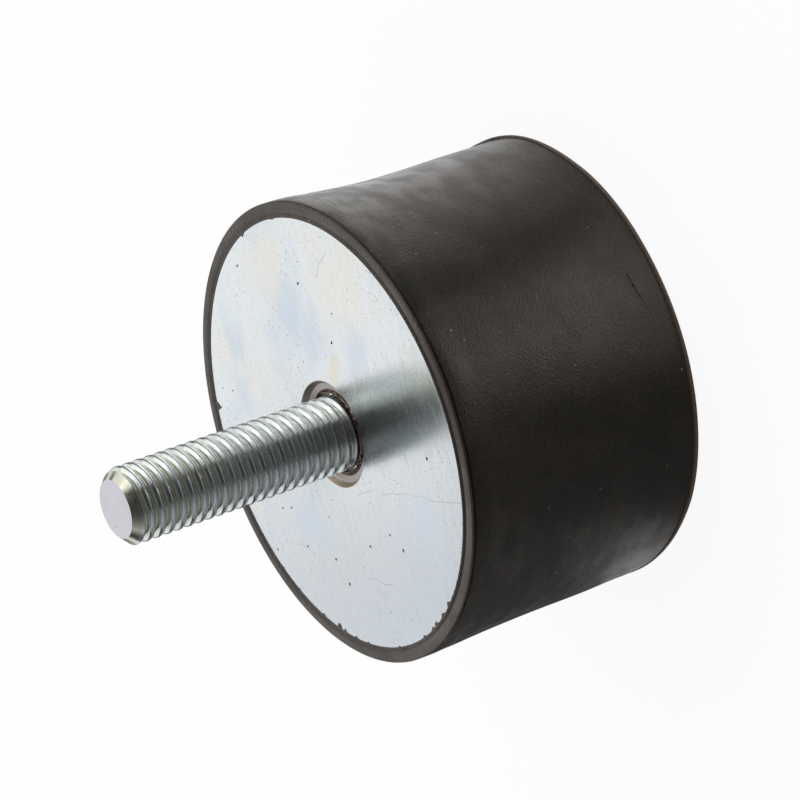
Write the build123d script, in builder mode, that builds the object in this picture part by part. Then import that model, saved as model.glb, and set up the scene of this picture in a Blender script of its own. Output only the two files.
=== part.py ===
"""Cylindrical rubber-metal vibration damper, with a threaded stud at the front and a blind threaded bush at the rear.

The origin is the centre of the rear face, and +Z runs along the axis towards the stud. Sizes are in millimetres.
"""

import os
from math import radians, tan

from build123d import *

# Overall sizes
body_diameter = 60.0  # over the two lips
body_height = 34.5  # between the outer faces of the plates
stud_length = 31.5  # from the front face to the tip

# Rubber body
rim_width = 2.0  # rubber seen round the edge of each plate
lip_bevel = 0.2  # outer corner of both lips
front_lip_width = 2.6  # straight part of the lip beside the front plate
rear_lip_width = 0.6  # the rear lip is a narrow bead
lip_run = 1.6  # height over which the side falls from a lip to the waist
lip_step = 0.3  # fall of the side at the foot of a lip, on the radius
waist_depth = 0.6  # fall of the side at mid height, on the radius
groove_setback = 0.25  # parting groove, behind the front face
groove_width = 0.35
groove_depth = 0.2

# Steel plates
plate_thickness = 3.0
plate_bevel = 0.5  # on the edge that is buried in the rubber
recess_depth = 0.9  # dished seat round the stud
recess_flare = 0.6  # how much wider the recess is at its mouth, on the radius
floor_margin = 1.475  # recess floor beyond the thread, on the radius
collar_width = 0.5  # raised ring round the plate's hole
collar_height = 0.2
collar_bevel = 0.15  # outer edge of that ring

# Stud
thread_diameter = 9.85  # M10 over the plated crests
shank_margin = 0.175  # the shank is wider than the thread, on the radius
neck_relief = 0.175  # the neck is narrower than the thread, on the radius
neck_rise = 0.7  # neck above the front face, where the thread runs out
shank_length = 1.3  # pressed length inside the plate
tip_bevel = 1.175
tip_bevel_length = 1.2
head_overhang = 4.0
head_thickness = 2.5
head_bevel = 0.5

# Bush
bore_diameter = 8.5  # tapping size of M10
bore_depth = 11.0
mouth_bevel = 0.95  # the mouth's bevel reaches just past the thread's full diameter
drill_point_angle = 118.0
bush_wall = 3.25
bush_floor = 1.5  # metal beyond the drill point
bush_bevel = 0.5
spigot_margin = 0.5  # the spigot in the plate is narrower than the bush, on the radius
flange_overhang = 1.5
flange_thickness = 2.0

body_radius = body_diameter / 2
plate_radius = body_radius - rim_width
front_z = body_height
front_plate_back = front_z - plate_thickness
recess_floor_z = front_z - recess_depth

thread_radius = thread_diameter / 2
neck_radius = thread_radius - neck_relief
shank_radius = thread_radius + shank_margin
head_radius = shank_radius + head_overhang
head_back = front_plate_back - head_thickness
shank_top = front_plate_back + shank_length
neck_top = front_z + neck_rise
tip_z = front_z + stud_length
floor_radius = thread_radius + floor_margin
recess_radius = floor_radius + recess_flare

bore_radius = bore_diameter / 2
mouth_radius = bore_radius + mouth_bevel
drill_point_height = bore_radius / tan(radians(drill_point_angle / 2))
bush_radius = bore_radius + bush_wall
spigot_radius = bush_radius - spigot_margin
flange_radius = bush_radius + flange_overhang
flange_top = plate_thickness + flange_thickness
bush_top = bore_depth + drill_point_height + bush_floor


def half_section(*points, mode=Mode.ADD):
    """Adds a closed outline of (radius, height) points to the sketch, or cuts it out."""
    Polygon(*points, align=None, mode=mode)


def bevelled_disc(radius, open_z, buried_z, bevel, mode=Mode.ADD):
    """Half section of a disc from the axis, bevelled on the edge that the rubber buries."""
    inward = bevel if buried_z > open_z else -bevel
    rim = [(radius, open_z), (radius, buried_z - inward), (radius - bevel, buried_z)]
    half_section((0, open_z), *rim, (0, buried_z), mode=mode)


# Front plate: a pressed disc with a dished recess round the stud's hole
with BuildPart() as front_plate:
    with BuildSketch(Plane.XZ):
        bevelled_disc(plate_radius, front_z, front_plate_back, plate_bevel)
        half_section(
            (0, front_z),
            (recess_radius, front_z),
            (floor_radius, recess_floor_z),
            (0, recess_floor_z),
            mode=Mode.SUBTRACT,
        )
        half_section(
            (shank_radius, recess_floor_z),
            (shank_radius + collar_width, recess_floor_z),
            (shank_radius + collar_width - collar_bevel, recess_floor_z + collar_height),
            (shank_radius, recess_floor_z + collar_height),
        )
        with Locations((0, front_plate_back)):
            Rectangle(shank_radius, plate_thickness, align=(Align.MIN, Align.MIN), mode=Mode.SUBTRACT)
    revolve(axis=Axis.Z)
front_plate.part.label = "front_plate"

# Stud: a flat-headed bolt pressed into the plate from the rubber side, with its thread as a plain crest cylinder
with BuildPart() as threaded_stud:
    with BuildSketch(Plane.XZ):
        bevelled_disc(head_radius, front_plate_back, head_back, head_bevel)
        half_section(
            (0, front_plate_back),
            (shank_radius, front_plate_back),
            (shank_radius, shank_top),
            (neck_radius, shank_top),
            (neck_radius, neck_top),
            (thread_radius, neck_top + neck_relief),
            (thread_radius, tip_z - tip_bevel_length),
            (thread_radius - tip_bevel, tip_z),
            (0, tip_z),
        )
    revolve(axis=Axis.Z)
threaded_stud.part.label = "threaded_stud"

# Rear plate: a pressed disc with a hole for the bush's spigot
with BuildPart() as rear_plate:
    with BuildSketch(Plane.XZ):
        bevelled_disc(plate_radius, 0, plate_thickness, plate_bevel)
        Rectangle(spigot_radius, plate_thickness, align=(Align.MIN, Align.MIN), mode=Mode.SUBTRACT)
    revolve(axis=Axis.Z)
rear_plate.part.label = "rear_plate"

# Bush: a flanged round nut with a blind bore, its spigot flush with the rear face
with BuildPart() as threaded_bush:
    with BuildSketch(Plane.XZ):
        Rectangle(spigot_radius, flange_top, align=(Align.MIN, Align.MIN))
        with Locations((0, plate_thickness)):
            Rectangle(flange_radius, flange_thickness, align=(Align.MIN, Align.MIN))
        bevelled_disc(bush_radius, flange_top, bush_top, bush_bevel)
        half_section(
            (0, 0),
            (mouth_radius, 0),
            (bore_radius, mouth_bevel),
            (bore_radius, bore_depth),
            (0, bore_depth + drill_point_height),
            mode=Mode.SUBTRACT,
        )
    revolve(axis=Axis.Z)
threaded_bush.part.label = "threaded_bush"

# Rubber body: moulded in one shot round the plates, the bolt head and the bush
with BuildPart() as rubber_body:
    with BuildSketch(Plane.XZ):
        with BuildLine():
            groove_top = front_z - groove_setback
            groove_foot = groove_top - groove_width
            waist_top = front_z - front_lip_width - lip_run
            waist_foot = rear_lip_width + lip_run
            front_side = Polyline(
                (0, front_z),
                (body_radius - lip_bevel, front_z),
                (body_radius, front_z - lip_bevel),
                (body_radius, groove_top),
                (body_radius - groove_depth, groove_top - groove_width / 2),
                (body_radius, groove_foot),
                (body_radius, front_z - front_lip_width),
                (body_radius - lip_step, waist_top),
            )
            rear_side = Polyline(
                (body_radius - lip_step, waist_foot),
                (body_radius, rear_lip_width),
                (body_radius, lip_bevel),
                (body_radius - lip_bevel, 0),
                (0, 0),
                (0, front_z),
            )
            waist_middle = (body_radius - waist_depth, (waist_top + waist_foot) / 2)
            ThreePointArc(front_side @ 1, waist_middle, rear_side @ 0)
        make_face()
        bevelled_disc(plate_radius, front_z, front_plate_back, plate_bevel, Mode.SUBTRACT)
        bevelled_disc(head_radius, front_plate_back, head_back, head_bevel, Mode.SUBTRACT)
        bevelled_disc(plate_radius, 0, plate_thickness, plate_bevel, Mode.SUBTRACT)
        with Locations((0, plate_thickness)):
            Rectangle(flange_radius, flange_thickness, align=(Align.MIN, Align.MIN), mode=Mode.SUBTRACT)
        bevelled_disc(bush_radius, flange_top, bush_top, bush_bevel, Mode.SUBTRACT)
    revolve(axis=Axis.Z)
rubber_body.part.label = "rubber_body"

os.makedirs("parts", exist_ok=True)
export_step(rubber_body.part, "parts/rubber_body.step")
export_step(front_plate.part, "parts/front_plate.step")
export_step(threaded_stud.part, "parts/threaded_stud.step")
export_step(rear_plate.part, "parts/rear_plate.step")
export_step(threaded_bush.part, "parts/threaded_bush.step")
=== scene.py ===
# Cylindrical rubber-metal damper: moulded rubber, zinc plated discs, threaded stud and bush, light and camera
import math
import random

import bpy
from mathutils import Matrix, Vector, noise


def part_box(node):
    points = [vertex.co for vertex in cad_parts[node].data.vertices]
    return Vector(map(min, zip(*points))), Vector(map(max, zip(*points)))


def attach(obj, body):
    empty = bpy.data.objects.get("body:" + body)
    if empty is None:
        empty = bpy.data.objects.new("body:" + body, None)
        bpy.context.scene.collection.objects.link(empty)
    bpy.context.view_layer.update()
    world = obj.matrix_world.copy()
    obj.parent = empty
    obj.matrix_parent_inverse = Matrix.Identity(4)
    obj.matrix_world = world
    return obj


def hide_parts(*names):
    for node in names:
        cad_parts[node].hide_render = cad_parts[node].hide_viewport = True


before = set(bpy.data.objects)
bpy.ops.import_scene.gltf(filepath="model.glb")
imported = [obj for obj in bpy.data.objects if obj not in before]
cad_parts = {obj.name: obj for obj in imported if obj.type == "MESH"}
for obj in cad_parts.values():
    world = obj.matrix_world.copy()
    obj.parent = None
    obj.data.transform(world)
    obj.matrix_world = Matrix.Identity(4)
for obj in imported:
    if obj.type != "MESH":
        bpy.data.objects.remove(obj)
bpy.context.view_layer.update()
random.seed(31)

mm = 0.001

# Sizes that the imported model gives
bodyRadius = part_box("rubber_body")[1].x
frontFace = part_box("front_plate")[1].z
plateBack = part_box("front_plate")[0].z
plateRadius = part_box("front_plate")[1].x
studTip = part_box("threaded_stud")[1].z
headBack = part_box("threaded_stud")[0].z
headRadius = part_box("threaded_stud")[1].x
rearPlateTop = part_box("rear_plate")[1].z
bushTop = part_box("threaded_bush")[1].z
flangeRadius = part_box("threaded_bush")[1].x

# Sizes that pieces share and no box gives
buriedBevel = 0.5 * mm
flangeTop = 5.0 * mm
bushRadius = 7.5 * mm
spigotRadius = 7.0 * mm
threadPitch = 1.5 * mm
print("frame loaded, body radius", round(bodyRadius / mm, 2), "mm, tip at", round(studTip / mm, 2), "mm")


# Modelling helpers

def pickOnly(piece):
    bpy.ops.object.select_all(action="DESELECT")
    piece.select_set(True)
    bpy.context.view_layer.objects.active = piece


def applyModifier(piece, kind, **settings):
    pickOnly(piece)
    modifier = piece.modifiers.new(kind.title(), kind)
    for key, value in settings.items():
        setattr(modifier, key, value)
    bpy.ops.object.modifier_apply(modifier=modifier.name)


def mergeAndTurnOut(piece):
    pickOnly(piece)
    bpy.ops.object.mode_set(mode="EDIT")
    bpy.ops.mesh.select_all(action="SELECT")
    bpy.ops.mesh.remove_doubles(threshold=0.0005 * mm)
    bpy.ops.mesh.normals_make_consistent(inside=False)
    bpy.ops.object.mode_set(mode="OBJECT")


def turnRings(name, rings, segments, solid=True):
    # a circle, extruded and resized from ring to ring of (radius, height)
    # a solid starts and ends in a flat face, the others are a closed tube or have open ends
    bpy.ops.object.select_all(action="DESELECT")
    radius, height = rings[0]
    fill = "NGON" if solid else "NOTHING"
    bpy.ops.mesh.primitive_circle_add(vertices=segments, radius=radius, fill_type=fill,
                                      location=(0, 0, height))
    piece = bpy.context.object
    piece.name = name
    bpy.ops.object.transform_apply(location=True, rotation=False, scale=False)
    bpy.ops.object.mode_set(mode="EDIT")
    bpy.ops.mesh.select_all(action="SELECT")
    for newRadius, newHeight in rings[1:]:
        bpy.ops.mesh.extrude_region_move(TRANSFORM_OT_translate={"value": (0, 0, newHeight - height)})
        widen = newRadius / radius
        bpy.ops.transform.resize(value=(widen, widen, 1), center_override=(0, 0, newHeight))
        radius, height = newRadius, newHeight
    bpy.ops.object.mode_set(mode="OBJECT")
    mergeAndTurnOut(piece)
    return piece


def moveVertices(piece, rule):
    # rule gets azimuth, radius and height of a vertex, and gives its new radius and height
    for vertex in piece.data.vertices:
        x, y, z = vertex.co
        azimuth = math.atan2(y, x)
        radius, height = rule(azimuth, math.hypot(x, y), z)
        vertex.co = (radius * math.cos(azimuth), radius * math.sin(azimuth), height)


def combine(piece, other, operation):
    applyModifier(piece, "BOOLEAN", operation=operation, object=other, solver="EXACT")
    bpy.data.objects.remove(other)


def smoothShade(piece, degrees):
    pickOnly(piece)
    bpy.ops.object.shade_smooth_by_angle(angle=math.radians(degrees))


def finishPiece(piece, slot, material, *nodes):
    piece.data.materials.clear()
    piece.data.materials.append(material)
    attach(piece, "root")
    if nodes:
        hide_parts(*nodes)


def easeBetween(low, high, value):
    share = min(max((value - low) / (high - low), 0), 1)
    return share * share * (3 - 2 * share)


def tableValue(table, place):
    # smooth curve through the (place, size) rows of a table
    k = 0
    while k < len(table) - 2 and place > table[k + 1][0]:
        k += 1
    before, start = table[max(k - 1, 0)], table[k]
    end, after = table[k + 1], table[min(k + 2, len(table) - 1)]
    span = end[0] - start[0]
    share = min(max((place - start[0]) / span, 0), 1)
    slopeIn = (end[1] - before[1]) / (end[0] - before[0]) * span
    slopeOut = (after[1] - start[1]) / (after[0] - start[0]) * span
    curve = start[1] + slopeIn * share
    curve += (3 * (end[1] - start[1]) - 2 * slopeIn - slopeOut) * share ** 2
    curve += (2 * (start[1] - end[1]) + slopeIn + slopeOut) * share ** 3
    return curve


def lineDistance(place, points):
    # from a flat place to the nearest point of a run of straight lines
    nearest = math.inf
    for start, end in zip(points, points[1:]):
        run = end - start
        share = min(max((place - start).dot(run) / run.length_squared, 0), 1)
        nearest = min(nearest, (place - start - run * share).length)
    return nearest


def arcRings(centreRadius, centreHeight, size, startDegrees, endDegrees, steps):
    turned = endDegrees - startDegrees
    angles = [math.radians(startDegrees + turned * k / steps) for k in range(steps + 1)]
    return [(centreRadius + size * math.cos(a), centreHeight + size * math.sin(a)) for a in angles]


# Node helpers

def fillInputs(tree, made, inputs):
    for key, value in inputs.items():
        if isinstance(value, bpy.types.NodeSocket):
            tree.links.new(value, made.inputs[key])
        else:
            made.inputs[key].default_value = value
    return made


def addNode(tree, kind, inputs=None, **settings):
    made = tree.nodes.new("ShaderNode" + kind)
    for key, value in settings.items():
        setattr(made, key, value)
    return fillInputs(tree, made, inputs or {})


def fillGroup(tree, group, inputs):
    made = tree.nodes.new("ShaderNodeGroup")
    made.node_tree = group
    return fillInputs(tree, made, inputs)


def mixColors(tree, factor, first, second):
    return addNode(tree, "Mix", {0: factor, 6: first, 7: second}, data_type="RGBA").outputs[2]


def reckon(tree, operation, *values):
    # the values taken two by two, as with a row of Math nodes
    total = values[0]
    for value in values[1:]:
        total = addNode(tree, "Math", {0: total, 1: value}, operation=operation).outputs[0]
    return total


def reckonVector(tree, operation, first, second, wanted="Vector"):
    return addNode(tree, "VectorMath", {0: first, 1: second}, operation=operation).outputs[wanted]


def scaleVector(tree, vector, size):
    return addNode(tree, "VectorMath", {0: vector, "Scale": size}, operation="SCALE").outputs["Vector"]


def rampOf(tree, value, low, high, start=0.0, end=1.0):
    settings = {"Value": value, "From Min": low, "From Max": high, "To Min": start, "To Max": end}
    return addNode(tree, "MapRange", settings, interpolation_type="SMOOTHSTEP").outputs["Result"]


def startGroup(name, inputs, outputs):
    group = bpy.data.node_groups.new(name, "ShaderNodeTree")
    for socketName, (kind, value) in inputs.items():
        socket = group.interface.new_socket(socketName, in_out="INPUT", socket_type="NodeSocket" + kind)
        if value is not None:
            socket.default_value = value
    for socketName, kind in outputs.items():
        group.interface.new_socket(socketName, in_out="OUTPUT", socket_type="NodeSocket" + kind)
    entry = group.nodes.new("NodeGroupInput").outputs
    leave = group.nodes.new("NodeGroupOutput").inputs
    return group, entry, leave


def newMaterial(name, metallic=0.0):
    material = bpy.data.materials.new(name)
    material.use_nodes = True
    tree = material.node_tree
    shader = tree.nodes["Principled BSDF"]
    shader.inputs["Metallic"].default_value = metallic
    return material, tree, shader


# Node groups that several finishes share

def makeSpecksGroup():
    # round specks of mixed size in some of the cells of a scattered grid
    group, entry, leave = startGroup(
        "scatteredSpecks",
        {"Vector": ("Vector", None), "Spacing": ("Float", 1 * mm), "Share": ("Float", 0.2),
         "Size": ("Float", 0.2)},
        {"Mask": "Float"},
    )
    scale = reckon(group, "DIVIDE", 1.0, entry["Spacing"])
    cells = addNode(group, "TexVoronoi", {"Vector": entry["Vector"], "Scale": scale})
    lot = addNode(group, "SeparateColor", {"Color": cells.outputs["Color"]})
    chosen = reckon(group, "LESS_THAN", lot.outputs[0], entry["Share"])
    reach = reckon(group, "MULTIPLY", lot.outputs[1], entry["Size"])
    inside = reckon(group, "SUBTRACT", reach, cells.outputs["Distance"])
    edge = addNode(group, "MapRange", {"Value": inside, "From Min": 0.0, "From Max": 0.05})
    group.links.new(reckon(group, "MULTIPLY", edge.outputs["Result"], chosen), leave["Mask"])
    return group


def makeBlotchGroup():
    # soft cloudy patches
    group, entry, leave = startGroup(
        "softBlotches",
        {"Vector": ("Vector", None), "Spacing": ("Float", 10 * mm), "Detail": ("Float", 3.0),
         "Low": ("Float", 0.4), "High": ("Float", 0.6)},
        {"Mask": "Float"},
    )
    scale = reckon(group, "DIVIDE", 1.0, entry["Spacing"])
    cloud = addNode(group, "TexNoise", {"Vector": entry["Vector"], "Scale": scale, "Detail": entry["Detail"]})
    group.links.new(rampOf(group, cloud.outputs[0], entry["Low"], entry["High"]), leave["Mask"])
    return group


def makeGrainGroup():
    # fine uneven surface, as a normal and as the height behind it
    group, entry, leave = startGroup(
        "surfaceGrain",
        {"Vector": ("Vector", None), "Spacing": ("Float", 0.3 * mm), "Height": ("Float", 0.01 * mm),
         "Strength": ("Float", 1.0)},
        {"Normal": "Vector", "Grain": "Float"},
    )
    scale = reckon(group, "DIVIDE", 1.0, entry["Spacing"])
    grain = addNode(group, "TexNoise", {"Vector": entry["Vector"], "Scale": scale, "Detail": 2.0,
                                        "Roughness": 0.6})
    bump = addNode(group, "Bump", {"Strength": entry["Strength"], "Distance": entry["Height"],
                                   "Height": grain.outputs[0]})
    group.links.new(bump.outputs[0], leave["Normal"])
    group.links.new(grain.outputs[0], leave["Grain"])
    return group


def makePolarGroup():
    # where a place lies round the damper's axis
    group, entry, leave = startGroup(
        "roundTheAxis",
        {"Vector": ("Vector", None)},
        {"Radius": "Float", "Height": "Float", "Across": "Float", "Aside": "Float"},
    )
    parts = addNode(group, "SeparateXYZ", {"Vector": entry["Vector"]}).outputs
    flat = addNode(group, "CombineXYZ", {"X": parts["X"], "Y": parts["Y"], "Z": 0.0}).outputs[0]
    radius = addNode(group, "VectorMath", {0: flat}, operation="LENGTH")
    group.links.new(radius.outputs["Value"], leave["Radius"])
    group.links.new(parts["Z"], leave["Height"])
    group.links.new(parts["X"], leave["Across"])
    group.links.new(parts["Y"], leave["Aside"])
    return group


specksGroup = makeSpecksGroup()
blotchGroup = makeBlotchGroup()
grainGroup = makeGrainGroup()
polarGroup = makePolarGroup()
print("node groups made")


def specksOf(tree, place, spacing, share, size):
    inputs = {"Vector": place, "Spacing": spacing, "Share": share, "Size": size}
    return fillGroup(tree, specksGroup, inputs).outputs["Mask"]


def blotchesOf(tree, place, spacing, detail, low, high):
    inputs = {"Vector": place, "Spacing": spacing, "Detail": detail, "Low": low, "High": high}
    return fillGroup(tree, blotchGroup, inputs).outputs["Mask"]


def stretched(tree, place, **settings):
    return addNode(tree, "Mapping", {"Vector": place, **settings}).outputs[0]


# Finishes: blotches are (spacing, detail, low, high) and specks are (spacing, share, size)

rubberLook = {
    "dark": (0.0036, 0.0033, 0.0026, 1),
    "brown": (0.0095, 0.0076, 0.0055, 1),
    "fleck": (0.030, 0.025, 0.020, 1),
    # the next two colours are the rim's painted light (outer half) and painted shade (beside the disc)
    "litRimOuter": (0.030, 0.0225, 0.019, 1),
    "shadedRimInner": (0.019, 0.0150, 0.013, 1),
    "bead": (0.085, 0.060, 0.044, 1),
    "beadAbove": (0.014, 0.010, 0.008, 1),
    "dust": (0.24, 0.225, 0.20, 1),
    "sheen": (1.0, 0.90, 0.80, 1),
    "specular": 0.62,
    "roughness": (0.33, 0.46),
    "flattened": (1, 1, 2.1),  # the grain is longer round the axis than along it
    "grain": {"Spacing": 0.37 * mm, "Height": 0.13 * mm},
    "grainStrength": (0.45, 1.0),
    "toneBlotches": (9 * mm, 4.0, 0.4, 0.6),
    "wearBlotches": (5 * mm, 5.0, 0.3, 0.7),
    "dustSpecks": (1.7 * mm, 0.34, 0.10),
}


def makeRubber():
    look = rubberLook
    material, tree, shader = newMaterial("moulded rubber")
    place = addNode(tree, "TexCoord").outputs["Object"]
    flattened = stretched(tree, place, Scale=look["flattened"])
    polar = fillGroup(tree, polarGroup, {"Vector": place}).outputs
    grain = fillGroup(tree, grainGroup, {"Vector": flattened, **look["grain"]})
    tone = blotchesOf(tree, place, *look["toneBlotches"])
    color = mixColors(tree, tone, look["dark"], look["brown"])
    flecked = rampOf(tree, grain.outputs["Grain"], 0.50, 0.72, 0.0, 0.65)
    color = mixColors(tree, flecked, color, look["fleck"])
    # painted light makes the rim beside the disc paler, most in its outer half; painted shade darkens the
    # inner half
    onFront = rampOf(tree, polar["Height"], frontFace - 0.30 * mm, frontFace - 0.12 * mm)
    outer = rampOf(tree, polar["Radius"], plateRadius + 0.55 * mm, plateRadius + 0.80 * mm)
    rim = mixColors(tree, outer, look["shadedRimInner"], look["litRimOuter"])
    color = mixColors(tree, onFront, color, rim)
    # the rear bead is paler brown on its -Y side and is dark elsewhere
    onBead = rampOf(tree, polar["Height"], 0.66 * mm, 0.52 * mm)
    turnedUp = rampOf(tree, polar["Aside"], -18 * mm, -5 * mm)
    color = mixColors(tree, onBead, color, mixColors(tree, turnedUp, look["bead"], look["beadAbove"]))
    color = mixColors(tree, specksOf(tree, place, *look["dustSpecks"]), color, look["dust"])
    worn = blotchesOf(tree, flattened, *look["wearBlotches"])
    roughness = rampOf(tree, worn, 0.0, 1.0, *look["roughness"])
    tree.links.new(rampOf(tree, tone, 0.0, 1.0, *look["grainStrength"]), grain.inputs["Strength"])
    tree.links.new(color, shader.inputs["Base Color"])
    tree.links.new(roughness, shader.inputs["Roughness"])
    tree.links.new(grain.outputs["Normal"], shader.inputs["Normal"])
    shader.inputs["Specular IOR Level"].default_value = look["specular"]
    shader.inputs["Specular Tint"].default_value = look["sheen"]
    return material


zincLook = {
    "plain": (0.79, 0.83, 0.845, 1),
    "blue": (0.70, 0.77, 0.84, 1),
    "cream": (0.83, 0.81, 0.75, 1),
    # painted shade for the disc's -X side
    "shade": (0.605, 0.650, 0.690, 1),
    "pit": (0.05, 0.05, 0.05, 1),
    "speck": (0.42, 0.43, 0.44, 1),
    "scratch": (0.30, 0.29, 0.28, 1),
    "smear": (0.80, 0.72, 0.50, 1),
    "stain": (0.60, 0.69, 0.80, 1),
    "floor": (0.42, 0.385, 0.37, 1),
    # the wall colour is painted shade, and the tan after it is painted light on the wall's -X side
    "wall": (0.42, 0.375, 0.36, 1),
    "tan": (0.55, 0.47, 0.38, 1),
    "bronze": (0.46, 0.33, 0.26, 1),
    # painted shadow black for the collar's hollows and the specks on its ridges
    "shadowBlack": (0.035, 0.028, 0.024, 1),
    "faceRoughness": 0.21,
    "floorRoughness": 0.36,
    "streakRoughness": 0.07,
    "grain": {"Spacing": 0.30 * mm, "Height": 0.0045 * mm},
    "drawn": (0.16, 1, 1),
    "creamShift": (0.31, 0.12, 0.05),
    "blueBlotches": (13 * mm, 2.0, 0.46, 0.72),
    "creamBlotches": (9 * mm, 4.0, 0.42, 0.75),
    "speckBlotches": (6 * mm, 3.0, 0.35, 0.70),
    "streakBlotches": (0.34 * mm, 2.0, 0.42, 0.70),
    "fineSpecks": (0.42 * mm, 0.50, 0.42),
    "pitSpecks": (1.7 * mm, 0.10, 0.13),
    # the next specks are painted shadow on the collar's ridges
    "shadowSpecks": (0.55 * mm, 0.55, 0.75),
    "stainShare": 0.62,
    "scratchShare": 0.42,
    "smearShare": 0.5,
    "streakShare": 0.05,
    "scratchWidth": 0.10 * mm,
    "smearWidth": 1.3 * mm,
}

# bluish stains of the plating on the front face, as (x, y, radius) in mm
stains = [
    (8.0, 18.0, 6.5), (15.5, 17.5, 5.0), (-12.5, -14.3, 7.0), (-9.7, 13.8, 6.0), (17.0, 0.0, 5.0),
    (12.5, -4.5, 4.5), (9.0, -13.0, 5.0),
]

# scratches in the front face, and one yellow smear beside the recess, as places (x, y) in mm
scratches = [
    [(-8.14, -1.05), (-8.22, -5.01)],
    [(-8.74, -6.76), (-9.55, -11.2), (-10.62, -15.82)],
    [(-10.62, -15.82), (-11.9, -20.4), (-13.06, -25.41)],
    [(12.2, 16.0), (15.4, 15.1)],
    [(19.0, -9.0), (21.4, -13.5)],
    [(-18.5, 3.0), (-20.2, -2.1)],
]
smearEnds = [(6.6, -5.2), (8.2, -6.8)]

# radii between which the recess changes colour: floor, painted-shade wall, painted-shadow collar
recessFades = {
    "mouth": (7.02 * mm, 6.92 * mm),
    "wallFoot": (6.40 * mm, 6.55 * mm),
    "wallTop": (7.05 * mm, 6.90 * mm),
    "collar": (5.72 * mm, 5.62 * mm),
}


def pushedAbout(tree, place, scale, detail, reach):
    # places on the flat face, moved by a cloud so that marks aren't straight or round
    cloud = addNode(tree, "TexNoise", {"Vector": place, "Scale": scale, "Detail": detail}).outputs["Color"]
    push = scaleVector(tree, reckonVector(tree, "SUBTRACT", cloud, (0.5, 0.5, 0.5)), reach)
    return reckonVector(tree, "MULTIPLY", reckonVector(tree, "ADD", place, push), (1, 1, 0))


def markLine(tree, place, start, end, width):
    # mask of a thin line between two places on the flat face
    first = Vector((start[0] * mm, start[1] * mm, 0))
    run = Vector((end[0] * mm, end[1] * mm, 0)) - first
    away = reckonVector(tree, "SUBTRACT", place, first)
    reach = reckonVector(tree, "DOT_PRODUCT", away, run / run.length_squared, "Value")
    share = addNode(tree, "Clamp", {"Value": reach}).outputs[0]
    gap = reckonVector(tree, "DISTANCE", away, scaleVector(tree, run, share), "Value")
    return rampOf(tree, gap, width, 0.3 * width)


def markSpot(tree, place, x, y, size):
    gap = reckonVector(tree, "DISTANCE", place, (x * mm, y * mm, 0), "Value")
    return rampOf(tree, gap, size * mm, 0.1 * size * mm)


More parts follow.
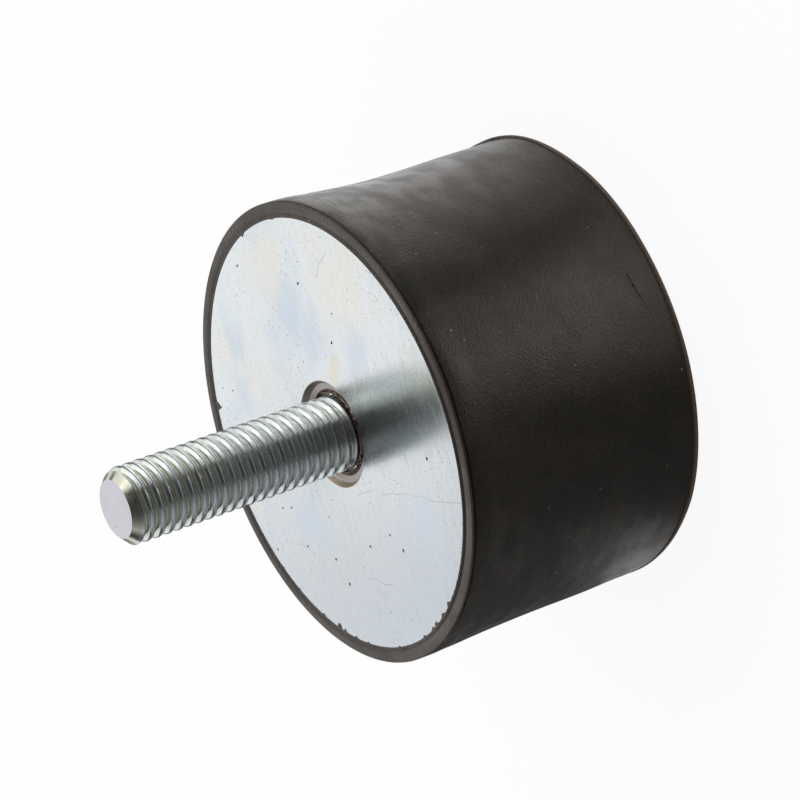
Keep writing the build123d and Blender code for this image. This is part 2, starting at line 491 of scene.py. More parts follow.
def makePlateZinc():
    look = zincLook
    material, tree, shader = newMaterial("bright zinc plate", metallic=1.0)
    place = addNode(tree, "TexCoord").outputs["Object"]
    shifted = stretched(tree, place, Location=look["creamShift"])
    polar = fillGroup(tree, polarGroup, {"Vector": place}).outputs
    radius, height, across = polar["Radius"], polar["Height"], polar["Across"]
    onFront = rampOf(tree, height, frontFace - 2.0 * mm, frontFace - 1.2 * mm)
    # plating: bluish patches and cream towards the edge; painted shade darkens the -X side
    color = mixColors(tree, blotchesOf(tree, place, *look["blueBlotches"]), look["plain"], look["blue"])
    nearEdge = rampOf(tree, radius, 10 * mm, 26 * mm, 0.35, 1.0)
    creamy = reckon(tree, "MULTIPLY", blotchesOf(tree, shifted, *look["creamBlotches"]), nearEdge)
    color = mixColors(tree, creamy, color, look["cream"])
    color = mixColors(tree, rampOf(tree, across, 8 * mm, -24 * mm), color, look["shade"])
    # streaks of the rolled sheet, fine specks in patches, and pits
    streaks = blotchesOf(tree, stretched(tree, place, Scale=look["drawn"]), *look["streakBlotches"])
    color = mixColors(tree, reckon(tree, "MULTIPLY", streaks, look["streakShare"]), color, look["speck"])
    patches = rampOf(tree, blotchesOf(tree, shifted, *look["speckBlotches"]), 0.0, 1.0, 0.12, 0.75)
    speckled = reckon(tree, "MULTIPLY", specksOf(tree, place, *look["fineSpecks"]), patches)
    color = mixColors(tree, speckled, color, look["speck"])
    color = mixColors(tree, specksOf(tree, place, *look["pitSpecks"]), color, look["pit"])
    # scratches, stains and the smear
    wavy = pushedAbout(tree, place, 420.0, 1.0, 0.9 * mm)
    marks = [markLine(tree, wavy, start, end, look["scratchWidth"])
             for line in scratches for start, end in zip(line, line[1:])]
    scratched = reckon(tree, "MULTIPLY", reckon(tree, "MAXIMUM", *marks), onFront, look["scratchShare"])
    color = mixColors(tree, scratched, color, look["scratch"])
    cloudy = pushedAbout(tree, place, 150.0, 3.0, 12 * mm)
    spots = [markSpot(tree, cloudy, *stain) for stain in stains]
    stained = reckon(tree, "MULTIPLY", reckon(tree, "MAXIMUM", *spots), onFront, look["stainShare"])
    color = mixColors(tree, stained, color, look["stain"])
    smear = markLine(tree, wavy, *smearEnds, look["smearWidth"])
    smeared = reckon(tree, "MULTIPLY", smear, onFront, look["smearShare"])
    color = mixColors(tree, smeared, color, look["smear"])
    # recess: floor, wall in painted shade with painted tan light at -X, bronze collar with painted shadow
    onFloor = reckon(tree, "MULTIPLY", rampOf(tree, radius, *recessFades["mouth"]), onFront)
    onWall = reckon(tree, "MULTIPLY", rampOf(tree, radius, *recessFades["wallFoot"]),
                    rampOf(tree, radius, *recessFades["wallTop"]), onFront)
    wall = mixColors(tree, rampOf(tree, across, -1.5 * mm, -4.5 * mm), look["wall"], look["tan"])
    color = mixColors(tree, onFloor, color, look["floor"])
    color = mixColors(tree, onWall, color, wall)
    onCollar = reckon(tree, "MULTIPLY", rampOf(tree, radius, *recessFades["collar"]), onFront)
    raised = rampOf(tree, height, frontFace - 0.86 * mm, frontFace - 0.76 * mm)
    ridge = mixColors(tree, specksOf(tree, place, *look["shadowSpecks"]), look["bronze"], look["shadowBlack"])
    color = mixColors(tree, onCollar, color, mixColors(tree, raised, look["shadowBlack"], ridge))
    rough = rampOf(tree, onFloor, 0.0, 1.0, look["faceRoughness"], look["floorRoughness"])
    rough = reckon(tree, "ADD", rough, reckon(tree, "MULTIPLY", streaks, look["streakRoughness"]))
    grain = fillGroup(tree, grainGroup, {"Vector": place, **look["grain"]})
    tree.links.new(color, shader.inputs["Base Color"])
    tree.links.new(rough, shader.inputs["Roughness"])
    tree.links.new(grain.outputs["Normal"], shader.inputs["Normal"])
    return material


studLook = {
    "light": (0.79, 0.84, 0.815, 1),
    "blue": (0.68, 0.755, 0.79, 1),
    "olive": (0.70, 0.67, 0.48, 1),
    # painted shade for the thread's grooves
    "groove": (0.62, 0.62, 0.56, 1),
    "face": (0.63, 0.61, 0.665, 1),
    "pit": (0.08, 0.08, 0.07, 1),
    "roughness": (0.19, 0.30),
    "grain": {"Spacing": 0.28 * mm, "Height": 0.007 * mm},
    "toneBlotches": (2.4 * mm, 4.0, 0.35, 0.65),
    "pitSpecks": (0.7 * mm, 0.16, 0.20),
    "grooveShadeShare": 0.6,
    "oliveShare": 0.55,
}


def makeStudZinc():
    look = studLook
    material, tree, shader = newMaterial("bright zinc stud", metallic=1.0)
    place = addNode(tree, "TexCoord").outputs["Object"]
    polar = fillGroup(tree, polarGroup, {"Vector": place}).outputs
    tone = blotchesOf(tree, place, *look["toneBlotches"])
    # painted shade and reflection tint: the stud's -X half is painted bluer and darker, as its lower side
    shadedBlueSide = rampOf(tree, polar["Across"], 2 * mm, -2 * mm, 0.0, 0.8)
    bluish = reckon(tree, "MAXIMUM", reckon(tree, "MULTIPLY", tone, 0.5), shadedBlueSide)
    color = mixColors(tree, bluish, look["light"], look["blue"])
    # painted shade darkens the grooves, which turn olive towards the tip
    inGroove = rampOf(tree, polar["Radius"], 4.75 * mm, 4.35 * mm)
    nearTip = rampOf(tree, polar["Height"], 46 * mm, 62 * mm)
    color = mixColors(tree, reckon(tree, "MULTIPLY", inGroove, look["grooveShadeShare"]), color, look["groove"])
    olive = reckon(tree, "MULTIPLY", inGroove, nearTip, look["oliveShare"])
    color = mixColors(tree, olive, color, look["olive"])
    onFace = rampOf(tree, polar["Height"], studTip - 0.06 * mm, studTip - 0.02 * mm)
    color = mixColors(tree, onFace, color, look["face"])
    color = mixColors(tree, specksOf(tree, place, *look["pitSpecks"]), color, look["pit"])
    grain = fillGroup(tree, grainGroup, {"Vector": place, **look["grain"]})
    tree.links.new(color, shader.inputs["Base Color"])
    tree.links.new(rampOf(tree, tone, 0.0, 1.0, *look["roughness"]), shader.inputs["Roughness"])
    tree.links.new(grain.outputs["Normal"], shader.inputs["Normal"])
    return material


rubber = makeRubber()
plateZinc = makePlateZinc()
studZinc = makeStudZinc()
print("finishes made")


# Rubber body: turned skin with lips, parting groove, waist and rear bead, round the seats of the plates

rubberShape = {
    "segments": 512,
    "lipRadius": bodyRadius - 0.03 * mm,
    "shoulderRadius": bodyRadius - 0.32 * mm,
    "waistRadius": bodyRadius - 0.62 * mm,
    "beadRadius": bodyRadius - 0.06 * mm,
    "beadSize": 0.22 * mm,
    "beadNotch": 0.14 * mm,
    "sideStart": 0.75 * mm,
    "rearShoulder": 2.2 * mm,
    "frontShoulder": 28.4 * mm,
    "frontLip": 32.6 * mm,
    "fineRings": 38,  # close rings beside the bead, for the creases
    "fineStep": 0.12 * mm,
    "sideRings": 40,
    "lipRings": 8,
    "grooveHeight": 34.08 * mm,
    "grooveWidth": 0.35 * mm,
    "grooveDepth": 0.22 * mm,
    "cornerSize": 0.22 * mm,
    "flatDepth": 0.55 * mm,
    "flatMiddle": 7,  # degrees
    "fullness": 0.15 * mm,
    "waveSize": 0.045 * mm,
    "longWave": 13 * mm,
    "shortWave": 4 * mm,
    "creaseDepth": 0.10 * mm,
    "creaseWidth": 0.17 * mm,
    "creaseLips": (0.5 * mm, 0.25 * mm),
}

# how far the rear rim stands out (+) or in (-), in mm, by azimuth in degrees
rimOffsets = [
    (-180, -0.5), (-170, -0.5), (-160, -0.45), (-152, -0.35), (-144, -0.2), (-136, 0.0), (-120, 0.03),
    (-100, 0.05), (-60, 0.05), (-48, 0.0), (-40, -0.12), (-28, -0.18), (-16, -0.24), (-8, -0.34), (0, -0.5),
    (14, -0.5), (30, -0.3), (60, -0.25), (150, -0.3), (180, -0.5),
]

# folds that the mould left beside the rear bead: strength, then places of (azimuth in degrees, height in mm)
creases = [
    (1.0, [(-76.5, 4.22), (-78.6, 4.19), (-81.5, 4.02), (-84.5, 3.68), (-86.0, 3.59), (-89.8, 3.36),
           (-94.4, 3.09), (-98.2, 2.83), (-101.9, 2.55), (-108.0, 2.1)]),
    (0.35, [(-75.0, 2.95), (-77.8, 3.06), (-81.2, 3.17), (-84.1, 3.13), (-86.4, 3.07), (-88.8, 2.84)]),
    (0.5, [(24.0, 3.4), (31.0, 3.7), (39.0, 3.2), (46.0, 2.9)]),
    (0.5, [(118.0, 2.6), (127.0, 3.1), (138.0, 2.9)]),
]
creaseLines = [
    (strength, [Vector((math.radians(turned) * bodyRadius, height * mm)) for turned, height in line])
    for strength, line in creases
]


def sideRadius(height):
    # radius of the plain side between bead and lip
    shape = rubberShape
    front, rear = shape["frontShoulder"], shape["rearShoulder"]
    bow = min(abs(height - (front + rear) / 2) / ((front - rear) / 2), 1) ** 2
    radius = shape["waistRadius"] + (shape["shoulderRadius"] - shape["waistRadius"]) * bow
    rise = shape["lipRadius"] - shape["shoulderRadius"]
    return radius + rise * easeBetween(front, shape["frontLip"], height)


def evenSteps(start, end, steps):
    return [start + (end - start) * (k + 1) / steps for k in range(steps)]


def rubberRings():
    shape = rubberShape
    lip = shape["lipRadius"]
    inner = [
        (spigotRadius, bushTop), (bushRadius, bushTop - buriedBevel), (bushRadius, flangeTop),
        (flangeRadius, flangeTop), (flangeRadius, rearPlateTop),
        (plateRadius - buriedBevel, rearPlateTop), (plateRadius, rearPlateTop - buriedBevel),
        (plateRadius, 0.15 * mm), (plateRadius + 0.4 * mm, 0.03 * mm),
    ]
    size = shape["beadSize"]
    bead = arcRings(shape["beadRadius"] - size, size + 0.01 * mm, size, -90, 90, 10)
    notch = sideRadius(0) - shape["beadNotch"]
    foot = [(notch, 0.47 * mm), (notch, 0.55 * mm), (sideRadius(0) - 0.03 * mm, 0.66 * mm)]
    heights = [shape["sideStart"] + shape["fineStep"] * k for k in range(shape["fineRings"])]
    heights += evenSteps(heights[-1], shape["frontShoulder"], shape["sideRings"])
    heights += evenSteps(shape["frontShoulder"], shape["frontLip"], shape["lipRings"])
    side = [(sideRadius(height), height) for height in heights]
    groove, half, depth = shape["grooveHeight"], shape["grooveWidth"] / 2, shape["grooveDepth"]
    lipAndGroove = [
        (lip, groove - half - 0.08 * mm), (lip - 0.03 * mm, groove - half),
        (lip - depth, groove - 0.05 * mm), (lip - depth, groove + 0.05 * mm),
        (lip - 0.03 * mm, groove + half),
    ]
    size = shape["cornerSize"]
    corner = arcRings(lip - size, frontFace - size - 0.005 * mm, size, 10, 90, 6)
    rim = [
        (bodyRadius - 0.9 * mm, frontFace - 0.01 * mm), (plateRadius + 0.75 * mm, frontFace - 0.02 * mm),
        (plateRadius + 0.45 * mm, frontFace - 0.14 * mm), (plateRadius + 0.08 * mm, frontFace - 0.16 * mm),
        (plateRadius + 0.01 * mm, frontFace - 0.3 * mm),
    ]
    seat = [
        (plateRadius, plateBack + buriedBevel), (plateRadius - buriedBevel, plateBack),
        (headRadius, plateBack), (headRadius, headBack + buriedBevel), (headRadius - buriedBevel, headBack),
    ]
    return inner + bead + foot + side + lipAndGroove + corner + rim + seat


def creaseMove(azimuth, height):
    # how far the folds press the side in, and lift it beside them
    shape = rubberShape
    moved = 0
    flat = Vector((azimuth * bodyRadius, height))
    for strength, line in creaseLines:
        run = (flat.x - line[0].x) / (line[-1].x - line[0].x)
        if -0.1 < run < 1.1:
            gap = lineDistance(flat, line)
            near = easeBetween(shape["creaseWidth"], 0, gap)
            lip = easeBetween(*shape["creaseLips"], gap) - near
            depth = shape["creaseDepth"] * strength * (1 - 0.85 * easeBetween(0.15, 0.45, run))
            moved -= depth * near - 0.25 * depth * max(lip, 0)
    return moved


def rubberRelief(azimuth, radius, height):
    # the moulded skin is not quite round: a flat along the top, a drawn-in rear rim, soft waves and folds
    if radius < plateRadius + 0.2 * mm:
        return radius, height
    shape = rubberShape
    degrees = math.degrees(azimuth)
    atRear = 1 - easeBetween(1 * mm, 9 * mm, height)
    onSide = easeBetween(0.5 * mm, 0.9 * mm, height)
    moved = tableValue(rimOffsets, degrees) * mm * atRear * (1 - 0.45 * onSide)
    topFlat = easeBetween(34, 6, abs(degrees - shape["flatMiddle"]))
    topFlat *= 1 - easeBetween(19 * mm, 32 * mm, height)
    moved -= shape["flatDepth"] * topFlat * (0.3 + 0.7 * onSide)
    # the underside is a little fuller towards the front
    lowFull = easeBetween(40, 10, abs(abs(degrees) - 176)) * onSide
    lowFull *= 1 - easeBetween(29 * mm, 31.5 * mm, height)
    moved += shape["fullness"] * lowFull * easeBetween(4 * mm, 13 * mm, height)
    spot = Vector((radius * math.cos(azimuth), radius * math.sin(azimuth), height))
    calm = 1 - 0.8 * easeBetween(31 * mm, 33 * mm, height)
    moved += shape["waveSize"] * calm * noise.noise(spot / shape["longWave"])
    moved += 0.25 * shape["waveSize"] * calm * noise.noise(spot / shape["shortWave"])
    if 0.9 * mm < height < 6 * mm:
        moved += creaseMove(azimuth, height)
    return min(radius + moved, bodyRadius), height


rubberBody = turnRings("rubberBody", rubberRings(), rubberShape["segments"])
moveVertices(rubberBody, rubberRelief)
smoothShade(rubberBody, 35)
finishPiece(rubberBody, "rubber", rubber, "rubber_body")
print("rubber body turned,", len(rubberBody.data.polygons), "faces")


# Rubber flash: the thin film that creeps over the disc's edge, ragged where it tore off

flashShape = {
    "segments": 1440,
    "thickness": 0.035 * mm,
    "outerRadius": plateRadius + 0.30 * mm,
    "creep": 0.04 * mm,
    "ragged": 0.09 * mm,
    "topShare": 0.94,  # the film's top edge lies a little outside its foot
    "tongueShare": 1.35,
}

# places where the film reaches further over the disc: azimuth in degrees, reach in mm, half width in degrees
flashTongues = [
    (72.7, 0.85, 1.2), (80.4, 0.45, 1.0), (121.0, 0.15, 0.8), (129.0, 0.15, 0.8), (140.9, 0.25, 0.9),
    (148.4, 0.75, 1.1), (151.0, 0.40, 0.8), (156.1, 0.25, 0.9), (161.7, 0.20, 0.8), (177.2, 0.20, 0.8),
    (-168.3, 0.25, 0.9), (-162.7, 0.30, 0.9), (-160.2, 0.45, 1.0), (-155.1, 0.40, 1.0), (-150.0, 0.40, 1.1),
    (10.6, 0.30, 0.9), (-7.0, 0.15, 1.4),
]


def flashReach(azimuth):
    # how far the film's edge lies inside the disc's edge
    shape = flashShape
    degrees = math.degrees(azimuth)
    rough = easeBetween(100, 140, abs(degrees))
    along = Vector((math.cos(azimuth), math.sin(azimuth), 0)) * 60
    wander = max(noise.noise(along / 1.6) + 0.1, 0) + 0.5 * max(noise.noise(along / 0.5), 0)
    reach = shape["creep"] + shape["ragged"] * wander * (0.25 + 0.75 * rough)
    for place, size, half in flashTongues:
        away = abs((degrees - place + 180) % 360 - 180)
        tongue = easeBetween(shape["tongueShare"] * half, 0, away)
        reach += shape["tongueShare"] * size * mm * tongue * (0.8 + 0.4 * noise.noise(along * 2))
    return reach


def makeRubberFlash():
    thick, outer = flashShape["thickness"], flashShape["outerRadius"]
    film = turnRings("rubberFlash", [
        (plateRadius, frontFace + thick), (plateRadius, frontFace - 0.002 * mm),
        (plateRadius + 0.02 * mm, frontFace - 0.05 * mm), (outer, frontFace - 0.20 * mm),
        (outer + 0.05 * mm, frontFace - 0.15 * mm), (outer, frontFace - 0.10 * mm),
        (plateRadius + 0.10 * mm, frontFace + thick * 0.5), (plateRadius + 0.02 * mm, frontFace + thick),
    ], flashShape["segments"], solid=False)
    pickOnly(film)
    bpy.ops.object.mode_set(mode="EDIT")
    bpy.ops.mesh.select_mode(type="EDGE")
    bpy.ops.mesh.select_all(action="DESELECT")
    bpy.ops.mesh.select_non_manifold()
    bpy.ops.mesh.bridge_edge_loops()
    bpy.ops.object.mode_set(mode="OBJECT")

    def tear(azimuth, radius, height):
        if radius > plateRadius + 0.005 * mm:
            return radius, height
        share = flashShape["topShare"] if height > frontFace else 1
        return plateRadius - share * flashReach(azimuth), height

    moveVertices(film, tear)
    mergeAndTurnOut(film)
    return film


rubberFlash = makeRubberFlash()
smoothShade(rubberFlash, 50)
finishPiece(rubberFlash, "rubber", rubber)
print("rubber flash made,", len(rubberFlash.data.polygons), "faces")


# Flash fin: a sliver of rubber along the top of the rear rim, where the mould's halves met

finShape = {
    "foot": (-2.5, 0.85),  # azimuth in degrees, height in mm
    "end": (-14.6, 0.80),
    "rise": 0.36 * mm,
    "wide": 0.09 * mm,
    "root": 0.25 * mm,
    "steps": 18,
}


def makeFlashFin():
    # a low cylinder drawn out along the rim, thin at both ends, with its foot in the rubber
    shape = finShape
    bpy.ops.object.select_all(action="DESELECT")
    bpy.ops.mesh.primitive_cylinder_add(vertices=shape["steps"], radius=1.0, depth=1.0, end_fill_type="NGON")
    fin = bpy.context.object
    fin.name = "flashFin"
    bpy.ops.object.transform_apply(location=True, rotation=True, scale=True)
    bpy.ops.object.mode_set(mode="EDIT")
    bpy.ops.mesh.select_all(action="SELECT")
    bpy.ops.mesh.subdivide(number_cuts=2)
    bpy.ops.object.mode_set(mode="OBJECT")
    (startTurn, startHeight), (endTurn, endHeight) = shape["foot"], shape["end"]
    for vertex in fin.data.vertices:
        x, y, z = vertex.co
        share = (x + 1) / 2
        azimuth = math.radians(startTurn + (endTurn - startTurn) * share)
        height = (startHeight + (endHeight - startHeight) * share) * mm + y * shape["wide"]
        seat, _ = rubberRelief(azimuth, sideRadius(height), height)
        uneven = 0.75 + 0.5 * noise.noise(Vector((share * 7, 0, 3)))
        crest = shape["rise"] * (1 - abs(2 * share - 1) ** 1.5) * uneven
        azimuth += y * 0.35 * shape["wide"] / bodyRadius
        radius = min(seat + (crest if z > 0 else -shape["root"]), bodyRadius)
        vertex.co = (radius * math.cos(azimuth), radius * math.sin(azimuth), height)
    mergeAndTurnOut(fin)
    return fin


flashFin = makeFlashFin()
smoothShade(flashFin, 50)
finishPiece(flashFin, "rubber", rubber)
print("flash fin made,", len(flashFin.data.polygons), "faces")


# Front plate: dished recess, ridged collar round the hole, dents in its face

plateShape = {
    "segments": 512,
    "holeRadius": 5.12 * mm,
    "recessFloor": frontFace - 0.9 * mm,
    "edgeSize": 0.14 * mm,
    "collarEnd": 5.62 * mm,
    "dentSize": 0.24 * mm,
}

# ridges round the hole, as (radius, rise above the recess floor) in mm
collarRidges = [
    (5.16, 0.10), (5.20, 0.19), (5.25, 0.21), (5.30, 0.17), (5.34, 0.05), (5.40, 0.02), (5.45, 0.13),
    (5.49, 0.16), (5.53, 0.13), (5.58, 0.02), (5.66, 0.0),
]

# dents in the face, as (x, y) in mm
dents = [
    (-9.8, 7.7), (-14.8, 0.0), (-14.1, -5.7), (-16.4, -7.6), (-12.65, 15.65), (-15.2, 9.6), (-18.7, 8.3),
    (-7.0, 18.7), (13.95, -10.0), (10.6, -7.6), (9.4, 21.2), (24.0, 9.0), (18.96, -4.4), (-6.5, -20.4),
    (-7.3, 16.4),
]


def plateRings():
    hole, floor, size = plateShape["holeRadius"], plateShape["recessFloor"], plateShape["edgeSize"]
    collar = [(radius * mm, floor + rise * mm) for radius, rise in collarRidges]
    wall = [
        (6.20 * mm, floor), (6.36 * mm, floor - 0.01 * mm), (6.48 * mm, floor + 0.05 * mm),
        (6.60 * mm, floor + 0.22 * mm), (6.86 * mm, frontFace - 0.16 * mm),
        (6.94 * mm, frontFace - 0.05 * mm), (7.04 * mm, frontFace),
    ]
    edge = arcRings(plateRadius - size, frontFace - size, size, 90, 0, 4)
    back = [(plateRadius, plateBack + buriedBevel), (plateRadius - buriedBevel, plateBack), (hole, plateBack)]
    return [(hole, plateBack)] + collar + wall + edge + back


def collarRelief(azimuth, radius, height):
    # the punched edge round the hole is serrated
    floor = plateShape["recessFloor"]
    rise = height - floor
    if radius > plateShape["collarEnd"] or rise < 0.01 * mm:
        return radius, height
    along = Vector((math.cos(azimuth), math.sin(azimuth), radius / mm)) * 11
    return radius, floor + rise * (0.85 + 0.9 * noise.noise(along) + 0.35 * noise.noise(along * 2.7))


def makeFrontPlate():
    plate = turnRings("frontPlate", plateRings(), plateShape["segments"], solid=False)
    moveVertices(plate, collarRelief)
    bpy.ops.object.select_all(action="DESELECT")
    balls = []
    for x, y in dents:
        wide = plateShape["dentSize"] * random.uniform(0.7, 1.3)
        place = (x * mm, y * mm, frontFace + 0.35 * wide)
        bpy.ops.mesh.primitive_ico_sphere_add(subdivisions=3, radius=wide, location=place)
        ball = bpy.context.object
        ball.scale = (random.uniform(0.8, 1.4), random.uniform(0.8, 1.2), 1)
        balls.append(ball)
    for ball in balls:
        ball.select_set(True)
    bpy.ops.object.join()
    ball = bpy.context.object
    bpy.ops.object.transform_apply(location=True, rotation=True, scale=True)
    combine(plate, ball, "DIFFERENCE")
    return plate


frontPlate = makeFrontPlate()
smoothShade(frontPlate, 35)
finishPiece(frontPlate, "plate_zinc", plateZinc, "front_plate")
print("front plate turned,", len(frontPlate.data.polygons), "faces")


# Stud: rolled M10 thread on a neck, pressed shank and buried head

studShape = {
    "segments": 120,
    "blankSegments": 96,
    "thread": {"crest": 4.92 * mm, "root": 4.24 * mm, "crestRound": 0.44 * mm, "rootRound": 0.18 * mm},
    "neck": 4.72 * mm,
    "shank": 5.10 * mm,
    "shankTop": 32.8 * mm,
    "runOutStart": 33.3 * mm,
    "runOutEnd": 34.6 * mm,
    "tipRadius": 3.75 * mm,
    "tipBevel": 1.2 * mm,
    "turnStart": 0.4,
}


def threadTurn(crest, root, crestRound, rootRound):
    # one turn from root to root, as (radius, height): rounded root, flanks of 30 degrees, rounded crest
    rising = arcRings(root + rootRound, 0, rootRound, 180, 120, 3)
    top = arcRings(crest - crestRound, threadPitch / 2, crestRound, -60, 60, 6)
    falling = arcRings(root + rootRound, threadPitch, rootRound, 240, 200, 2)
    return rising + top + falling


def screwThread(name, turn, start, turns, segments):
    # a wire of all the turns, extruded point by point, then swept once round by the Screw modifier
    wire = [(radius, start + height + threadPitch * k) for k in range(turns) for radius, height in turn]
    bpy.ops.object.select_all(action="DESELECT")
    bpy.ops.mesh.primitive_plane_add(size=mm, location=(wire[0][0], 0, wire[0][1]))
    piece = bpy.context.object
    piece.name = name
    bpy.ops.object.transform_apply(location=True, rotation=False, scale=False)
    bpy.ops.object.mode_set(mode="EDIT")
    bpy.ops.mesh.select_mode(type="VERT")
    bpy.ops.mesh.select_all(action="SELECT")
    bpy.ops.mesh.merge(type="CENTER")
    for (radius, height), (newRadius, newHeight) in zip(wire, wire[1:]):
        step = (newRadius - radius, 0, newHeight - height)
        bpy.ops.mesh.extrude_region_move(TRANSFORM_OT_translate={"value": step})
    bpy.ops.object.mode_set(mode="OBJECT")
    applyModifier(piece, "SCREW", axis="Z", angle=math.tau, screw_offset=threadPitch, steps=segments,
                  render_steps=segments, use_merge_vertices=False)
    mergeAndTurnOut(piece)
    return piece


def cutFlat(piece, height, keepAbove):
    # everything past the height is cut away and the cut is filled
    pickOnly(piece)
    bpy.ops.object.mode_set(mode="EDIT")
    bpy.ops.mesh.select_all(action="SELECT")
    bpy.ops.mesh.bisect(plane_co=(0, 0, height), plane_no=(0, 0, 1), use_fill=True, threshold=0.0001 * mm,
                        clear_inner=keepAbove, clear_outer=not keepAbove)
    bpy.ops.object.mode_set(mode="OBJECT")


def makeStud():
    shape = studShape
    shank, shankTop, neck = shape["shank"], shape["shankTop"], shape["neck"]
    start = shankTop - 2 * threadPitch + shape["turnStart"] * threadPitch
    turns = math.ceil((studTip - start) / threadPitch) + 2
    stud = screwThread("threadedStud", threadTurn(**shape["thread"]), start, turns, shape["segments"])

    def runOut(azimuth, radius, height):
        depth = easeBetween(shape["runOutStart"], shape["runOutEnd"], height)
        return neck + (radius - neck) * depth, height

    moveVertices(stud, runOut)
    cutFlat(stud, shankTop - 0.1 * mm, keepAbove=True)
    cutFlat(stud, studTip - 0.001 * mm, keepAbove=False)
    mergeAndTurnOut(stud)
    # the thread keeps what lies inside a blank with the bevelled tip
    crest, bevelFoot = shape["thread"]["crest"], studTip - shape["tipBevel"]
    blank = turnRings("studBlank", [
        (crest + 0.1 * mm, shankTop - 1 * mm), (crest + 0.1 * mm, bevelFoot), (crest, bevelFoot),
        (shape["tipRadius"], studTip), (shape["tipRadius"], studTip + 1 * mm),
    ], shape["blankSegments"])
    combine(stud, blank, "INTERSECT")
    head = turnRings("studHead", [
        (headRadius - buriedBevel, headBack), (headRadius, headBack + buriedBevel), (headRadius, plateBack),
        (shank, plateBack), (shank, shankTop),
    ], shape["blankSegments"])
    combine(stud, head, "UNION")
    mergeAndTurnOut(stud)
    return stud


threadedStud = makeStud()
smoothShade(threadedStud, 40)
finishPiece(threadedStud, "stud_zinc", studZinc, "threaded_stud")
print("stud threaded,", len(threadedStud.data.polygons), "faces")


# Bush: flanged round nut, blind drilled and tapped from the rear face

bushShape = {
    "segments": 96,
    "edge": 0.12 * mm,
    "bore": 4.25 * mm,
    "boreDepth": 11.0 * mm,
    "drillPoint": 13.55 * mm,
    "mouth": 5.2 * mm,
    "thread": {"crest": 5.04 * mm, "root": 4.21 * mm, "crestRound": 0.24 * mm, "rootRound": 0.24 * mm},
    "threadDepth": 9.6 * mm,
    "turns": 11,
}


def makeBush():
    shape = bushShape
    edge, bore, mouth = shape["edge"], shape["bore"], shape["mouth"]
    bush = turnRings("threadedBush", [
        (spigotRadius - edge, 0.0), (spigotRadius, edge), (spigotRadius, rearPlateTop),
        (flangeRadius - edge, rearPlateTop), (flangeRadius, rearPlateTop + edge),
        (flangeRadius, flangeTop - edge), (flangeRadius - edge, flangeTop),
        (bushRadius, flangeTop), (bushRadius, bushTop - buriedBevel), (spigotRadius, bushTop),
    ], shape["segments"])
    drill = turnRings("drill", [
        (mouth + 1 * mm, -1 * mm), (bore, mouth - bore), (bore, shape["boreDepth"]),
        (0.02 * mm, shape["drillPoint"]),
    ], shape["segments"])
    combine(bush, drill, "DIFFERENCE")
    turn = threadTurn(**shape["thread"])
    tap = screwThread("tap", turn, -3 * threadPitch, shape["turns"], shape["segments"])
    cutFlat(tap, -1 * mm, keepAbove=True)
    cutFlat(tap, shape["threadDepth"], keepAbove=False)
    mergeAndTurnOut(tap)
    combine(bush, tap, "DIFFERENCE")
    mergeAndTurnOut(bush)
    return bush


threadedBush = makeBush()
smoothShade(threadedBush, 40)
finishPiece(threadedBush, "stud_zinc", studZinc, "threaded_bush")
print("bush tapped,", len(threadedBush.data.polygons), "faces")

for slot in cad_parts["rear_plate"].material_slots:
    slot.material = plateZinc


# Floor, backdrop and light

studio = {
    "floorSize": 3.0,
    "floorHeight": -0.05 * mm,
    "floorColor": (0.92, 0.92, 0.92, 1),
    "floorRoughness": 0.9,
    "white": (1, 1, 1, 1),
    "whiteShare": 0.90,
    "mirroredShare": 0.93,
    "mirroredBase": 0.15,
    "skyForMirrors": 0.035,
    "skyForColors": 0.50,
}

# soft bright pools that the floor shows to glossy rays: centre and radii in mm, turn in degrees
floorPools = {
    "right": {"place": (70, 22), "radii": (86, 80), "turn": 0, "gain": 1.9},
    "front": {"place": (13, -56), "radii": (25, 44), "turn": 15, "gain": 1.8},
    "rear": {"place": (-33, -5), "radii": (17, 17), "turn": 0, "gain": 0.65},
    "left": {"place": (-330, 20), "radii": (220, 220), "turn": 0, "gain": 0.4},
}


def poolGlow(tree, place, pool):
    x, y = pool["place"]
    wide, deep = pool["radii"]
    near = addNode(tree, "Mapping", {
        "Vector": place, "Location": (x * mm, y * mm, 0), "Scale": (wide * mm, deep * mm, 1),
        "Rotation": (0, 0, math.radians(pool["turn"])),
    }, vector_type="TEXTURE")
    soft = addNode(tree, "TexGradient", {"Vector": near.outputs[0]}, gradient_type="SPHERICAL")
    return rampOf(tree, soft.outputs["Fac"], 0.0, 0.85, 0.0, pool["gain"])


def makeFloorMaterial():
    # white to the camera, pools of light to mirrored rays, and a plain floor that takes shadows to the rest
    material, tree, shader = newMaterial("white floor")
    shader.inputs["Base Color"].default_value = studio["floorColor"]
    shader.inputs["Roughness"].default_value = studio["floorRoughness"]
    place = addNode(tree, "TexCoord").outputs["Object"]
    pooled = reckon(tree, "ADD", *[poolGlow(tree, place, pool) for pool in floorPools.values()])
    path = addNode(tree, "LightPath").outputs
    seen = path["Is Camera Ray"]
    mirrored = reckon(tree, "MAXIMUM", path["Is Glossy Ray"], path["Is Transmission Ray"])
    level = reckon(tree, "MULTIPLY", mirrored, reckon(tree, "ADD", pooled, studio["mirroredBase"]))
    level = reckon(tree, "MAXIMUM", seen, level)
    glow = addNode(tree, "Emission", {"Color": studio["white"], "Strength": level})
    share = reckon(tree, "MAXIMUM", reckon(tree, "MULTIPLY", seen, studio["whiteShare"]),
                   reckon(tree, "MULTIPLY", mirrored, studio["mirroredShare"]))
    mixer = addNode(tree, "MixShader", {0: share, 1: shader.outputs[0], 2: glow.outputs[0]})
    tree.links.new(mixer.outputs[0], tree.nodes["Material Output"].inputs["Surface"])
    return material


bpy.ops.object.select_all(action="DESELECT")
bpy.ops.mesh.primitive_plane_add(size=studio["floorSize"], location=(0, 0, studio["floorHeight"]))
floor = bpy.context.object
floor.name = "floor"
floor.data.materials.append(makeFloorMaterial())

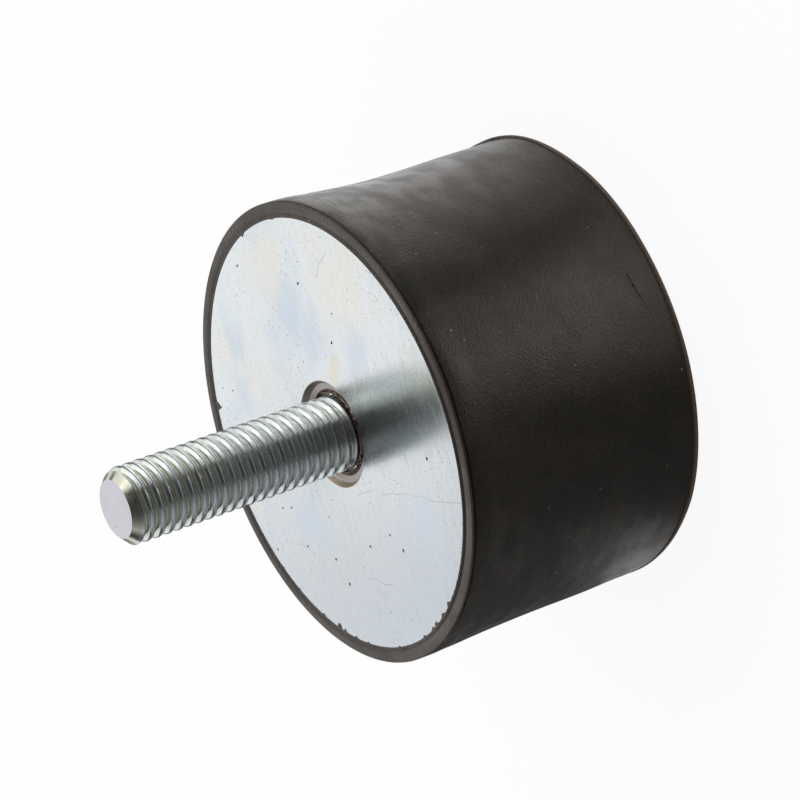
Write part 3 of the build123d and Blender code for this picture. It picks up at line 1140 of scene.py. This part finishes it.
# the left side is dimmer than the right, which gives the stud its bright, dark and grey bands
lamps = {
    "backPanel": {"place": (0.0, 0.80, 0.45), "size": (1.5, 0.9), "radiance": 0.93},
    "rightPanel": {"place": (0.75, 0.15, 0.55), "size": (0.9, 0.9), "radiance": 1.0},
    "leftPanel": {"place": (-0.75, 0.1, 0.4), "size": (0.5, 0.5), "radiance": 0.30},
    "topRightPanel": {"place": (0.36, 0.13, 0.80), "size": (0.55, 0.50), "radiance": 0.85},
    "topLeftPanel": {"place": (-0.45, 0.22, 0.80), "size": (0.50, 0.75), "radiance": 0.22},
    "frontPanel": {"place": (0.0, -0.95, 0.20), "size": (1.0, 0.22), "radiance": 0.06},
    "frontLeftPanel": {"place": (-0.66, -0.30, 0.34), "size": (0.50, 0.70), "radiance": 0.30},
    "frontRightPanel": {"place": (0.62, -0.36, 0.36), "size": (0.60, 0.70), "radiance": 0.75},
}
lampTarget = Vector((0, 0, 0.03))
for lampName, lamp in lamps.items():
    bpy.ops.object.light_add(type="AREA", location=lamp["place"])
    panel = bpy.context.object
    panel.name = lampName
    panel.data.shape = "RECTANGLE"
    wide, high = lamp["size"]
    panel.data.size, panel.data.size_y = wide, high
    panel.data.energy = lamp["radiance"] * math.pi * wide * high
    panel.rotation_euler = (lampTarget - panel.location).to_track_quat("-Z", "Y").to_euler()
    panel.visible_camera = False

scene = bpy.context.scene
world = bpy.data.worlds.new("studio")
world.use_nodes = True
scene.world = world
worldTree = world.node_tree
background = worldTree.nodes["Background"]
path = addNode(worldTree, "LightPath").outputs
skies = studio["skyForMirrors"], studio["skyForColors"]
strength = rampOf(worldTree, path["Is Diffuse Ray"], 0.0, 1.0, *skies)
strength = reckon(worldTree, "MAXIMUM", strength, path["Is Camera Ray"])
background.inputs["Color"].default_value = studio["white"]
worldTree.links.new(strength, background.inputs["Strength"])
scene.view_settings.view_transform = "Standard"
print("floor, lamps and world made")


# Camera: 30 degrees above the rear face's plane, rolled so that the stud points down to the left

view = {
    "elevation": 29.9212,
    "roll": -109.0222,
    "distance": 499.74 * mm,
    "aside": 8.4977 * mm,
    "above": 4.2876 * mm,
    "lens": 180.4605,
    "sensor": 36,
    "nearest": 0.01,
}
elevation = math.radians(view["elevation"])
roll = math.radians(view["roll"])
towards = Vector((0, -math.cos(elevation), math.sin(elevation)))
level = Vector((1, 0, 0))
upright = towards.cross(level)
right = level * math.cos(roll) + upright * math.sin(roll)
up = towards.cross(right)
camera = bpy.data.objects.new("camera", bpy.data.cameras.new("camera"))
scene.collection.objects.link(camera)
camera.data.lens = view["lens"]
camera.data.sensor_width = view["sensor"]
camera.data.clip_start = view["nearest"]
place = Vector((0, 0, frontFace)) + right * view["aside"] + up * view["above"] + towards * view["distance"]
turn = Matrix((right, up, towards)).transposed().to_4x4()
camera.matrix_world = Matrix.Translation(place) @ turn
scene.camera = camera
